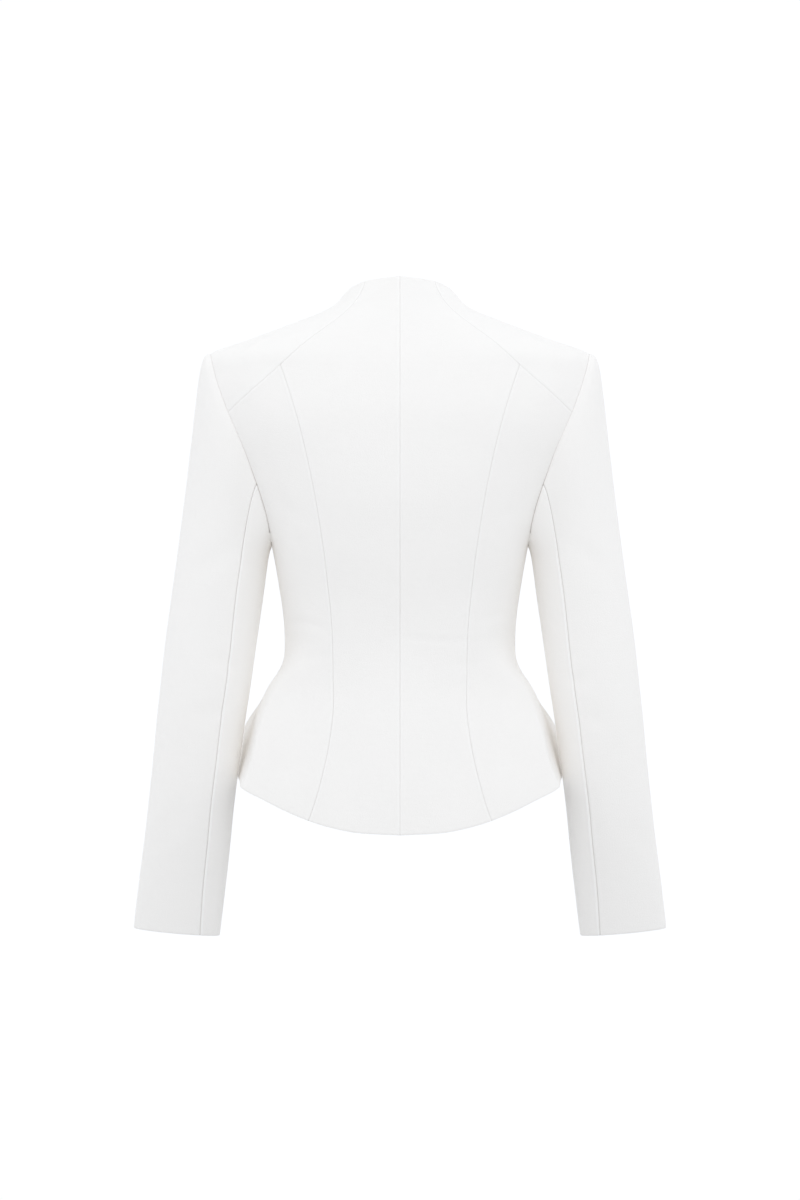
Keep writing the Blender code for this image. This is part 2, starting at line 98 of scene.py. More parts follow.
@dataclass(frozen=True)
class Crease:
    """A soft trough in the cloth with a low swell on each side, or a ridge where its rise is above 0.

    Its line runs from start to end and bows sideways by bow at its middle. It widens along the line, and
    fades out at both ends.
    """

    start: tuple[float, float]
    end: tuple[float, float]
    bow: float
    width: float
    rise: float
    swell: float = 0.9
    start_width: float = 0.75
    end_width: float = 1.25
    fade_power: float = 1.3

    def lift(self, across: np.ndarray, level: np.ndarray) -> np.ndarray:
        """How far the crease moves the cloth outwards.

        Args:
            across: First measure of each point, in millimetres.
            level: Second measure of each point, in millimetres.

        Returns:
            The outward move of each point, in millimetres.
        """
        start, end = np.array(self.start), np.array(self.end)
        length = np.linalg.norm(end - start)
        forward = (end - start) / length
        sideways = np.array([-forward[1], forward[0]])
        from_start = np.stack([across, level], axis=-1) - start
        inside = np.clip(from_start @ forward / length, 0, 1)
        off = from_start @ sideways - self.bow * 4 * inside * (1 - inside)
        fade = np.sin(np.pi * inside) ** self.fade_power
        width = self.width * (self.start_width + (self.end_width - self.start_width) * inside)
        spread = (off / width) ** 2
        return self.rise * fade * (1 - self.swell * spread) * np.exp(-spread)


@dataclass(frozen=True)
class Dart:
    """A dart sewn along one column of a piece, deepest between its two points."""

    column: float
    low: float
    high: float
    depth: float = 0.7
    reach: float = 1.3
    steepness: float = 4.0

    def fade(self, level: np.ndarray) -> np.ndarray:
        """1 along the dart, and 0 at its two points."""
        share = np.clip((level - self.low) / (self.high - self.low), 0, 1)
        return np.clip(self.steepness * np.sin(np.pi * share), 0, 1)

    def lift(self, off: np.ndarray, level: np.ndarray) -> np.ndarray:
        """How far the dart's stitching pulls the cloth in.

        Args:
            off: Distance of each point from the dart's line, in millimetres.
            level: Height of each point, in millimetres.

        Returns:
            The outward move of each point, in millimetres.
        """
        return -self.depth * self.fade(level) * np.exp(-((off / self.reach) ** 2))


@dataclass(frozen=True)
class Sewing:
    """The profile of the cloth beside its edges.

    A seam is a groove with a low lip on each side, where the turnings lie underneath. A painted shadow
    darkens the groove and a painted highlight lightens each lip. The armhole's seam is drawn in more
    towards the underarm, and its painted shadow is darker there. A turned edge is a little thicker as far
    as its turning reaches, and rolls inwards at its rim. Creases keep a margin from a join.
    """

    groove_depth: float = 0.25
    groove_reach: float = 0.9
    lip_rise: float = 0.24
    lip_at: float = 2.4
    lip_reach: float = 1.3
    turning_rise: float = 0.12
    turning_width: float = 32.0
    turning_fade: float = 5.0
    roll_depth: float = 0.5
    roll_reach: float = 0.9
    # Width and strength of the painted shadow along a seam's groove.
    shadow_line_width: float = 0.6
    shadow_line_tone: float = 0.28
    # Place and width of the painted highlight on the lip beside a seam.
    highlight_at: float = 1.6
    highlight_width: float = 0.9
    pressed_width: float = 4.5
    crease_margin: float = 9.0
    rim_spacing: float = 0.5
    neighbour_reach: float = 1.6
    armhole_z: float = -105.0
    underarm_z: float = -208.0
    side_seam_z: float = -246.0
    underarm_draw: float = 5.0
    rim_round: float = 0.35
    rim_segments: int = 2
    rim_angle: float = 60.0

    def groove(self, distance: np.ndarray) -> np.ndarray:
        """How far a seam draws the cloth in, as an outward move below 0."""
        return -self.groove_depth * np.exp(-((distance / self.groove_reach) ** 2))

    def lift(self, kind: Edge, distance: np.ndarray) -> np.ndarray:
        """How far the turnings under an edge lift the cloth.

        Args:
            kind: How the edge is finished.
            distance: Distance of each point from the edge, in millimetres.

        Returns:
            The outward move of each point, in millimetres.
        """
        if kind is Edge.TURNED:
            rise = self.turning_rise / (1 + np.exp((distance - self.turning_width) / self.turning_fade))
            return rise - self.roll_depth * np.exp(-((distance / self.roll_reach) ** 2))
        return self.lip_rise * np.exp(-(((distance - self.lip_at) / self.lip_reach) ** 2))

    def armhole_draw(self, level: np.ndarray) -> np.ndarray:
        """How hard a join is drawn in and how dark its painted shadow is: most at the underarm, where the
        sleeve pulls on it.

        Args:
            level: Height of each point, in millimetres.

        Returns:
            How many times harder it is than a plain seam, at each point.
        """
        down = ease((self.armhole_z - level) / (self.armhole_z - self.underarm_z))
        up = ease((level - self.side_seam_z) / (self.underarm_z - self.side_seam_z))
        return 1 + (self.underarm_draw - 1) * down * up

    def line(self, distance: np.ndarray, draw: np.ndarray | float = 1.0) -> np.ndarray:
        """The mask of the painted shadow along a seam's groove, strongest at the stitches.

        Args:
            distance: Distance of each point from the edge, in millimetres.
            draw: How many times harder the seam is drawn in than others, which also darkens its painted
                shadow.

        Returns:
            The mask at each point, from 0 to 1.
        """
        return np.minimum(1, self.shadow_line_tone * draw) * np.clip(1 - distance / self.shadow_line_width, 0, 1)

    def light(self, distance: np.ndarray) -> np.ndarray:
        """The mask of the painted highlight on the lip beside a seam, over its turnings."""
        return np.clip(1 - np.abs(distance - self.highlight_at) / self.highlight_width, 0, 1)


@dataclass(frozen=True)
class Cut:
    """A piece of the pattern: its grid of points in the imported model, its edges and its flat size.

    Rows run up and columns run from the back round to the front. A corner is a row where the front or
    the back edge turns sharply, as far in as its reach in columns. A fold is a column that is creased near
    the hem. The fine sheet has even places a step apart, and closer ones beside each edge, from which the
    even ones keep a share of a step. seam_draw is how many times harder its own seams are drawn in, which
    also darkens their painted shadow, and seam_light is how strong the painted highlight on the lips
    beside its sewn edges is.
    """

    stem: str
    rows: int
    columns: int
    low: Edge
    high: Edge
    back: Edge
    front: Edge
    flat: tuple[float, float]
    area: float
    hangs_from: str = ""
    field: Field = Field.BODY
    corner_row: int = 0
    corner_at_front: bool = True
    corner_reach: float = 3.0
    fold_column: int = 0
    step: float = 3.4
    step_share: float = 0.55
    seam_draw: float = 1.0
    seam_light: float = 0.4
    beside: tuple[float, ...] = (0, 0.45, 0.95, 1.6, 2.4, 3.4, 4.8, 7.0)


@dataclass(frozen=True)
class Fold:
    """The levels between which the fold at the hip sharpens, and how it is then rounded off."""

    soft_z: float = -350.0
    sharp_z: float = -382.0
    smoothing_rounds: int = 1
    smoothing_reach: float = 4.0
    smoothing_share: float = 0.5


@dataclass(frozen=True)
class SleeveLine:
    """The middle line of a sleeve from the cuff up, and the sleeve's mean radius."""

    levels: tuple[float, ...] = (-645, -545, -460, -416, -331, -245)
    middle_x: tuple[float, ...] = (241, 228, 218, 213, 202.5, 191)
    middle_y: tuple[float, ...] = (-20, -1, 6, 6, 2, -3)
    radius: float = 47.0

    def round_arm(self, points: np.ndarray) -> np.ndarray:
        """Length round the arm from its outside towards the back.

        Args:
            points: Points on the sleeve, in millimetres.

        Returns:
            The length at each point, in millimetres.
        """
        x, y, z = np.moveaxis(points, -1, 0)
        out = np.abs(x) - np.interp(z, self.levels, self.middle_x)
        back = y - np.interp(z, self.levels, self.middle_y)
        return self.radius * np.arctan2(back, out)


@dataclass
class Skin:
    """A fine sheet of points on a piece's outside, with its outward directions and edge distances.

    The columns are its places across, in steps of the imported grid.
    """

    points: np.ndarray
    normals: np.ndarray
    from_back: np.ndarray
    from_front: np.ndarray
    from_low: np.ndarray
    from_high: np.ndarray
    columns: np.ndarray


@dataclass
class Side:
    """One edge of a sheet.

    The rim picks the edge's points out of the sheet's rows and columns, and the spread lays them out over
    the sheet again. The distance is that of each of the sheet's points from the edge.
    """

    kind: Edge
    rim: int | tuple[slice | int, ...]
    spread: tuple[slice | None, ...]
    distance: np.ndarray


def unit(vectors: np.ndarray) -> np.ndarray:
    """Vectors scaled to length 1."""
    return vectors / np.linalg.norm(vectors, axis=-1, keepdims=True)


def ease(share: np.ndarray) -> np.ndarray:
    """0 to 1 with a level start and end."""
    share = np.clip(share, 0, 1)
    return share * share * (3 - 2 * share)


def along(points: np.ndarray, axis: int) -> np.ndarray:
    """Length along an axis of a grid of points, from its start."""
    steps = np.linalg.norm(np.diff(points, axis=axis), axis=-1)
    return np.insert(np.cumsum(steps, axis=axis), 0, 0, axis=axis)


def smooth_curve(knots: np.ndarray, at: np.ndarray) -> np.ndarray:
    """Draws side-by-side curves, each with even curvature, through rows of knots.

    Args:
        knots: Rows of points. Each curve runs down the rows.
        at: Places between 0 and the last row's number.

    Returns:
        A row of points for each place.
    """
    count, curves = knots.shape[:2]
    step = np.linalg.norm(np.diff(knots, axis=0), axis=-1)[..., None]
    rise = np.diff(knots, axis=0) / step
    system = np.zeros((curves, count, count))
    target = np.zeros_like(knots)
    system[:, 0, 0] = system[:, -1, -1] = 1
    target[0] = rise[0] + (rise[0] - rise[1]) * step[0] / (step[0] + step[1])
    target[-1] = rise[-1] + (rise[-1] - rise[-2]) * step[-1] / (step[-1] + step[-2])
    for i in range(1, count - 1):
        before, after = 1 / step[i - 1, :, 0], 1 / step[i, :, 0]
        system[:, i, i - 1] = before
        system[:, i, i] = 2 * (before + after)
        system[:, i, i + 1] = after
        target[i] = 3 * (rise[i - 1] / step[i - 1] + rise[i] / step[i])
    slopes = np.linalg.solve(system, target.swapaxes(0, 1)).swapaxes(0, 1)
    i = np.clip(at.astype(int), 0, count - 2)
    t = (at - i)[:, None, None]
    return (
        knots[i] * (1 + 2 * t) * (1 - t) ** 2
        + knots[i + 1] * t * t * (3 - 2 * t)
        + slopes[i] * step[i] * t * (1 - t) ** 2
        + slopes[i + 1] * step[i] * t * t * (t - 1)
    )


def broken_curve(knots: np.ndarray, at: np.ndarray, corner: int) -> np.ndarray:
    """The same curves with a corner in one row of knots.

    Args:
        knots: Rows of points. Each curve runs down the rows.
        at: Places between 0 and the last row's number, rising.
        corner: The number of the row where they turn.

    Returns:
        A row of points for each place.
    """
    before = smooth_curve(knots[: corner + 1], at[at < corner])
    after = smooth_curve(knots[corner:], at[at >= corner] - corner)
    return np.concatenate([before, after])


class CutPiece:
    """One cut piece of cloth, read from its node and drawn again as sewn."""

    def __init__(
        self, cut: Cut, hand: Hand, creases: tuple[Crease, ...], darts: tuple[Dart, ...] = ()
    ) -> None:
        """Names the piece.

        Args:
            cut: The piece of the pattern.
            hand: The half of the jacket that it is on.
            creases: Its creases, in the measures of its field.
            darts: Its darts.
        """
        self.cut = cut
        self.hand = hand
        self.creases = creases
        self.darts = darts
        self.node = f"{cut.stem}_{hand.name.lower()}"
        self.skin: Skin | None = None

    def outer_sheet(self, solid: bpy.types.Object) -> bmesh.types.BMesh:
        """The outer skin of the node's wall, without its edges and its inside.

        Args:
            solid: The node's object.

        Returns:
            A bmesh of the outer skin's triangles.
        """
        sheet = bmesh.new()
        sheet.from_mesh(solid.data)
        bmesh.ops.remove_doubles(sheet, verts=sheet.verts, dist=WELD_DISTANCE * MM)
        wall_edges = [e for e in sheet.edges if abs(e.calc_length() - WALL * MM) < WALL_TOLERANCE * MM]
        rim = {face for edge in wall_edges for face in edge.link_faces}
        bmesh.ops.delete(sheet, geom=list(rim), context="FACES")
        left = set(sheet.faces)
        skins = []
        while left:
            skin = [left.pop()]
            for face in skin:
                near = {other for edge in face.edges for other in edge.link_faces} & left
                left -= near
                skin.extend(near)
            skins.append(skin)
        skins.sort(key=lambda skin: sum(face.calc_area() for face in skin))
        inside = [face for skin in skins[:-1] for face in skin]
        bmesh.ops.delete(sheet, geom=inside, context="FACES")
        return sheet

    def rim_from_corner(self, sheet: bmesh.types.BMesh) -> list[bmesh.types.BMVert]:
        """The vertices round the sheet, starting at a corner along a row.

        Args:
            sheet: The outer skin.

        Returns:
            The rim's vertices in order.
        """
        edge = next(e for e in sheet.edges if e.is_boundary)
        first, here = edge.verts
        rim = [first]
        while here is not first:
            rim.append(here)
            edge = next(e for e in here.link_edges if e.is_boundary and e is not edge)
            here = edge.other_vert(here)
        places = np.array([vertex.co for vertex in rim])
        to_last = unit(np.roll(places, 1, axis=0) - places)
        to_next = unit(np.roll(places, -1, axis=0) - places)
        turn = 1 + (to_last * to_next).sum(axis=1)
        across, up = self.cut.columns - 1, self.cut.rows - 1
        corners = (0, across, across + up, 2 * across + up)
        scores = [sum(turn[(start + c) % len(rim)] for c in corners) for start in range(len(rim))]
        best = int(np.argmax(scores))
        return rim[best:] + rim[:best]

    def grid(self, solid: bpy.types.Object) -> tuple[np.ndarray, bool]:
        """The outer skin as rows and columns of points, in millimetres.

        Args:
            solid: The node's object.

        Returns:
            The points, with rows upwards and columns from the back to the front, and whether a cell's
            turn from its columns to its rows faces outwards.
        """
        sheet = self.outer_sheet(solid)
        rim = self.rim_from_corner(sheet)
        rows, columns = self.cut.rows, self.cut.columns
        table = [[None] * columns for _ in range(rows)]
        table[0] = rim[:columns]
        for i in range(rows):
            table[i][0] = rim[-i]
        used = set()

        def third(one: bmesh.types.BMVert, two: bmesh.types.BMVert) -> bmesh.types.BMVert:
            """The far corner of the next unused triangle on an edge.

            Args:
                one: The edge's start.
                two: The edge's end.

            Returns:
                The triangle's third vertex.
            """
            shared = next(e for e in one.link_edges if e.other_vert(one) is two)
            face = next(f for f in shared.link_faces if f not in used)
            used.add(face)
            return next(v for v in face.verts if v not in (one, two))

        for i in range(rows - 1):
            for j in range(columns - 1):
                here, beside, above = table[i][j], table[i][j + 1], table[i + 1][j]
                far = third(here, beside)
                if far is above:
                    far = third(beside, above)
                else:
                    third(here, far)
                table[i + 1][j + 1] = far
        points = np.array([[vertex.co for vertex in row] for row in table]) / MM
        facing = table[0][0].link_faces[0].normal
        outward = np.cross(points[0, 1] - points[0, 0], points[1, 0] - points[0, 0]) @ np.array(facing) > 0
        sheet.free()
        if points[0, :, 2].mean() > points[-1, :, 2].mean():
            points, outward = points[::-1], not outward
        if points[:, 0, 1].mean() < points[:, -1, 1].mean():
            points, outward = points[:, ::-1], not outward
        return points, outward

    def stops(self, intervals: int, length: float, extra: tuple[float, ...] = ()) -> np.ndarray:
        """Places along one side of the grid: even ones, and closer ones beside edges and darts.

        Args:
            intervals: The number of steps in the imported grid.
            length: The side's length in millimetres.
            extra: Further lines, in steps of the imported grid, that need close places.

        Returns:
            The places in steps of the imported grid, rising.
        """
        beside = np.array(self.cut.beside) * intervals / length
        even = np.linspace(0, intervals, int(round(length / self.cut.step)) + 1)
        lines = [beside, intervals - beside]
        for line in extra:
            lines += [line + beside, line - beside]
        close = np.concatenate(lines)
        gap = self.cut.step * self.cut.step_share * intervals / length
        far = [place for place in even if np.abs(close - place).min() > gap]
        return np.unique(np.round(np.concatenate([close, far]), PLACE_DIGITS))

    def draft(self, solid: bpy.types.Object, fold: Fold) -> None:
        """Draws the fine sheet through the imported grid, before it is sewn and creased.

        Args:
            solid: The node's object.
            fold: The fold at the hip.
        """
        grid, outward = self.grid(solid)
        cut = self.cut
        up = self.stops(cut.rows - 1, along(grid, 0)[-1].mean())
        dart_columns = tuple(dart.column for dart in self.darts)
        across = self.stops(cut.columns - 1, along(grid, 1)[:, -1].mean(), dart_columns)
        rows = smooth_curve(grid, up)
        if cut.corner_row:
            from_corner = np.arange(cut.columns)
            if cut.corner_at_front:
                from_corner = from_corner[::-1]
            sharp = ease(1 - from_corner / cut.corner_reach)[None, :, None]
            rows = rows + sharp * (broken_curve(grid, up, cut.corner_row) - rows)
        turned = rows.swapaxes(0, 1)
        points = smooth_curve(turned, across)
        if cut.fold_column:
            broken = broken_curve(turned, across, cut.fold_column)
            level = points[..., 2]
            sharp = ease((fold.soft_z - level) / (fold.soft_z - fold.sharp_z))[..., None]
            points = points + sharp * (broken - points)
        points = points.swapaxes(0, 1)
        if cut.fold_column:
            self.soften(points, across - cut.fold_column, fold)
        normals = unit(np.cross(np.gradient(points, axis=1), np.gradient(points, axis=0)))
        round_it, upwards = along(points, 1), along(points, 0)
        self.skin = Skin(
            points,
            normals if outward else -normals,
            round_it,
            round_it[:, -1:] - round_it,
            upwards,
            upwards[-1:] - upwards,
            across,
        )

    def sides(self) -> tuple[Side, ...]:
        """The four edges of the drafted sheet."""
        cut, skin = self.cut, self.skin
        return (
            Side(cut.low, np.s_[0], np.s_[None, :], skin.from_low),
            Side(cut.high, np.s_[-1], np.s_[None, :], skin.from_high),
            Side(cut.back, np.s_[:, 0], np.s_[:, None], skin.from_back),
            Side(cut.front, np.s_[:, -1], np.s_[:, None], skin.from_front),
        )

    def soften(self, points: np.ndarray, off: np.ndarray, fold: Fold) -> None:
        """Rounds a fold off, in place.

        Args:
            points: The sheet's points.
            off: How far each column is from the fold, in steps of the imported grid.
            fold: The fold's sizes.
        """
        width = along(points, 1)[:, -1].mean() / (self.cut.columns - 1)
        share = ease(1 - np.abs(off) * width / fold.smoothing_reach)[None, 1:-1, None]
        for _ in range(fold.smoothing_rounds):
            middle = (points[:, :-2] + points[:, 2:]) / 2
            points[:, 1:-1] += fold.smoothing_share * share * (middle - points[:, 1:-1])

    def measures(self, points: np.ndarray) -> tuple[np.ndarray, np.ndarray]:
        """The two measures that place a crease, at each point.

        Args:
            points: The sheet's points.

        Returns:
            The measure across and the height, in millimetres.
        """
        across = points[..., 0] if self.cut.field is Field.BODY else SleeveLine().round_arm(points)
        return across, points[..., 2]

    def sewn(self, seams: SeamLines, sewing: Sewing) -> tuple[np.ndarray, dict[str, np.ndarray]]:
        """The sheet joined to its neighbours, drawn in at its seams and darts, and creased.

        Args:
            seams: The edges of all the pieces.
            sewing: The profile beside the edges.

        Returns:
            The points in millimetres, and by name the masks of the painted shadow along the seams, of the
            painted highlight on the lips beside them and of the pressed edges.
        """
        cut, skin = self.cut, self.skin
        points, inwards = skin.points.copy(), skin.normals.copy()
        groove = np.zeros(points.shape[:2])
        lift, line, press, light = (np.zeros_like(groove) for _ in range(4))
        creased = np.ones_like(groove)
        across, level = self.measures(skin.points)
        for side in self.sides():
            lift += sewing.lift(side.kind, side.distance)
            press = np.maximum(press, np.exp(-side.distance / sewing.pressed_width))
            if side.kind is Edge.TURNED:
                continue
            # How hard a seam is drawn in sets its groove and the darkness of its painted shadow line.
            draw = cut.seam_draw if side.kind is Edge.SEAM else sewing.armhole_draw(level)
            groove = np.minimum(groove, draw * sewing.groove(side.distance))
            line = np.maximum(line, sewing.line(side.distance, draw))
            # Painted highlight on the lip beside the seam.
            light = np.maximum(light, cut.seam_light * sewing.light(side.distance))
            if side.kind is Edge.JOIN:
                creased *= ease(side.distance / sewing.crease_margin)
            moved, normals = seams.meeting(self, skin.points[side.rim], skin.normals[side.rim])
            near = np.exp(-((side.distance / sewing.groove_reach) ** 2))[..., None]
            points += near * (moved - skin.points[side.rim])[side.spread]
            inwards += near * (normals[side.spread] - inwards)
        for crease in self.creases:
            lift += creased * crease.lift(across, level)
        for dart in self.darts:
            at = int(np.argmin(np.abs(skin.columns - dart.column)))
            off = np.abs(skin.from_back - skin.from_back[:, at : at + 1])
            lift += dart.lift(off, level)
            # Painted shadow along the dart's stitching.
            line = np.maximum(line, dart.fade(level) * sewing.line(off))
        points += unit(inwards) * groove[..., None] + skin.normals * lift[..., None]
        return points, {"seam_line": line, "seam_light": light, "pressed": press}

    def build(self, seams: SeamLines, sewing: Sewing) -> bpy.types.Object:
        """Makes the piece of cloth from its draft.

        Args:
            seams: The edges of all the pieces.
            sewing: The profile beside the edges.

        Returns:
            The finished piece.
        """
        skin = self.skin
        points, masks = self.sewn(seams, sewing)
        rows, columns = points.shape[:2]
        sheet = bmesh.new()
        made = bmesh.ops.create_grid(sheet, x_segments=columns - 1, y_segments=rows - 1)
        thread = sheet.loops.layers.uv.new("cut")
        flat_across = skin.from_back - (skin.from_back + skin.from_front) / 2
        flat = np.stack([flat_across, skin.from_low], axis=-1).reshape(-1, 2) * MM
        for vertex, place, spot in zip(made["verts"], points.reshape(-1, 3) * MM, flat):
            vertex.co = place
            for loop in vertex.link_loops:
                loop[thread].uv = spot
        sheet.normal_update()
        middle = made["verts"][(rows // 2) * columns + columns // 2]
        if middle.normal @ Vector(skin.normals[rows // 2, columns // 2]) < 0:
            bmesh.ops.reverse_faces(sheet, faces=sheet.faces)
        mesh = bpy.data.meshes.new(f"cloth_{self.node}")
        sheet.to_mesh(mesh)
        sheet.free()
        for name, mask in masks.items():
            mesh.attributes.new(name, "FLOAT", "POINT").data.foreach_set("value", mask.ravel())
        mesh.shade_smooth()
        piece = bpy.data.objects.new(mesh.name, mesh)
        bpy.context.scene.collection.objects.link(piece)
        wall = piece.modifiers.new("wall", "SOLIDIFY")
        wall.thickness = WALL * MM
        wall.offset = -1
        wall.material_offset = 1
        edge = piece.modifiers.new("edge", "BEVEL")
        edge.width = sewing.rim_round * MM
        edge.segments = sewing.rim_segments
        edge.limit_method = "ANGLE"
        edge.angle_limit = math.radians(sewing.rim_angle)
        return piece


class SeamLines:
    """The sewn edges of all the drafted pieces, to find where two of them meet."""

    def __init__(self, pieces: list[CutPiece], sewing: Sewing) -> None:
        """Collects the edges as close points.

        Args:
            pieces: The drafted pieces.
            sewing: The spacing of the points and how near a neighbour lies.
        """
        self.reach = sewing.neighbour_reach
        self.places: list[np.ndarray] = []
        self.normals: list[np.ndarray] = []
        self.owners: list[CutPiece] = []
        for piece in pieces:
            for side in piece.sides():
                if side.kind is not Edge.TURNED:
                    self.add(piece, side, sewing.rim_spacing)
        self.tree = KDTree(len(self.places))
        for number, place in enumerate(self.places):
            self.tree.insert(place, number)
        self.tree.balance()

    def add(self, piece: CutPiece, side: Side, spacing: float) -> None:
        """Adds one edge.

        Args:
            piece: The piece that it is on.
            side: The edge.
            spacing: The distance between its points.
        """
        rim, normals = piece.skin.points[side.rim], piece.skin.normals[side.rim]
        length = along(rim, 0)
        at = np.arange(0, length[-1], spacing)
        self.places.extend(np.stack([np.interp(at, length, rim[:, k]) for k in range(3)], axis=1))
        self.normals.extend(np.stack([np.interp(at, length, normals[:, k]) for k in range(3)], axis=1))
        self.owners.extend([piece] * len(at))

    def meeting(
        self, piece: CutPiece, rim: np.ndarray, normals: np.ndarray
    ) -> tuple[np.ndarray, np.ndarray]:
        """Where an edge meets its neighbours.

        Args:
            piece: The piece that the edge is on.
            rim: The edge's points.
            normals: Their outward directions.

        Returns:
            The points moved halfway to the neighbours' edges, and the directions that both sides share.
        """
        moved, shared = rim.copy(), normals.copy()
        for i, point in enumerate(rim):
            found = self.tree.find_range(point, self.reach)
            other = [(gap, number) for _, number, gap in found if self.owners[number] is not piece]
            if other:
                nearest = min(other)[1]
                moved[i] = (point + self.places[nearest]) / 2
                shared[i] = unit(normals[i] + self.normals[nearest])
        return moved, shared


def math_node(
    tree: bpy.types.NodeTree, operation: str, *values: bpy.types.NodeSocket | float
) -> bpy.types.NodeSocket:
    """Places a sum in a node tree.

    Args:
        tree: The node tree.
        operation: The node's operation.
        values: A socket or a number for each of its inputs.

    Returns:
        The result's socket.
    """
    node = tree.nodes.new("ShaderNodeMath")
    node.operation = operation
    for socket, value in zip(node.inputs, values):
        if isinstance(value, bpy.types.NodeSocket):
            tree.links.new(value, socket)
        else:
            socket.default_value = value
    return node.outputs["Value"]


def mask_node(tree: bpy.types.NodeTree, name: str) -> bpy.types.NodeSocket:
    """Reads a mask that a sheet carries at its points.

    Args:
        tree: The node tree.
        name: The mask's name.

    Returns:
        The mask's socket.
    """
    node = tree.nodes.new("ShaderNodeAttribute")
    node.attribute_name = name
    return node.outputs["Fac"]


@dataclass(frozen=True)
class Noise:
    """A soft noise over the flat cut: its grains in a metre, their closeness each way, and finer layers."""

    scale: float
    stretch: tuple[float, float, float]
    detail: float

    def place(self, tree: bpy.types.NodeTree, thread: bpy.types.NodeSocket) -> bpy.types.NodeSocket:
        """Places the noise in a node tree.

        Args:
            tree: The node tree.
            thread: The place on the flat cut, in metres.

        Returns:
            The noise's socket.
        """
        turn = tree.nodes.new("ShaderNodeMapping")
        turn.inputs["Scale"].default_value = self.stretch
        tree.links.new(thread, turn.inputs["Vector"])
        node = tree.nodes.new("ShaderNodeTexNoise")
        node.inputs["Scale"].default_value = self.scale
        node.inputs["Detail"].default_value = self.detail
        tree.links.new(turn.outputs["Vector"], node.inputs["Vector"])
        return node.outputs["Fac"]


@dataclass(frozen=True)
class CrepeGrain:
    """The grain of crepe: tightly twisted threads, over and under, that crinkle into fine pebbles.

    Slubs are thicker lengths of thread, and clouds are slow changes over the cloth. The heights are shares
    of the pebbles' height, and the hollows are shares of the mask.
    """

    name: str = "crepe_grain"
    thread: float = 0.9
    pebble: Noise = Noise(720.0, (1.0, 0.75, 1.0), 2.0)
    slub: Noise = Noise(260.0, (0.16, 1.0, 1.0), 1.0)
    cloud: Noise = Noise(26.0, (1.0, 0.7, 1.0), 2.0)
    weave_height: float = 0.16
    slub_height: float = 0.35
    pebble_hollow: float = 0.5
    slub_hollow: float = 0.2
    cloud_hollow: float = 0.3

    def weave(self, tree: bpy.types.NodeTree, thread: bpy.types.NodeSocket) -> bpy.types.NodeSocket:
        """Places the threads, over and under.

        Args:
            tree: The node tree.
            thread: The place on the flat cut, in metres.

        Returns:
            The socket of the weave's height.
        """
        split = tree.nodes.new("ShaderNodeSeparateXYZ")
        tree.links.new(thread, split.inputs["Vector"])
        waves_a_metre = 2 * math.pi / (self.thread * MM)
        weft, warp = (math_node(tree, "MULTIPLY", split.outputs[axis], waves_a_metre) for axis in "XY")
        return math_node(tree, "MULTIPLY", math_node(tree, "SINE", weft), math_node(tree, "SINE", warp))

    def group(self) -> bpy.types.NodeTree:
        """Builds the grain, once, as a node group.

        Returns:
            The group. Its input is a place on the flat cut in metres. Its outputs are the height of the
            grain and a mask of its hollows.
        """
        if self.name in bpy.data.node_groups:
            return bpy.data.node_groups[self.name]
        group = bpy.data.node_groups.new(self.name, "ShaderNodeTree")
        group.interface.new_socket("Thread", in_out="INPUT", socket_type="NodeSocketVector")
        group.interface.new_socket("Height", in_out="OUTPUT", socket_type="NodeSocketFloat")
        group.interface.new_socket("Hollow", in_out="OUTPUT", socket_type="NodeSocketFloat")
        thread = group.nodes.new("NodeGroupInput").outputs["Thread"]
        pebble, slub, cloud = (kind.place(group, thread) for kind in (self.pebble, self.slub, self.cloud))
        height = math_node(group, "MULTIPLY_ADD", self.weave(group, thread), self.weave_height, pebble)
        height = math_node(group, "MULTIPLY_ADD", slub, self.slub_height, height)
        hollow = math_node(group, "SUBTRACT", 1.0, pebble)
        hollow = math_node(group, "MULTIPLY", hollow, self.pebble_hollow)
        hollow = math_node(group, "MULTIPLY_ADD", slub, self.slub_hollow, hollow)
        hollow = math_node(group, "MULTIPLY_ADD", cloud, self.cloud_hollow, hollow)
        leave = group.nodes.new("NodeGroupOutput")
        group.links.new(height, leave.inputs["Height"])
        group.links.new(hollow, leave.inputs["Hollow"])
        return group


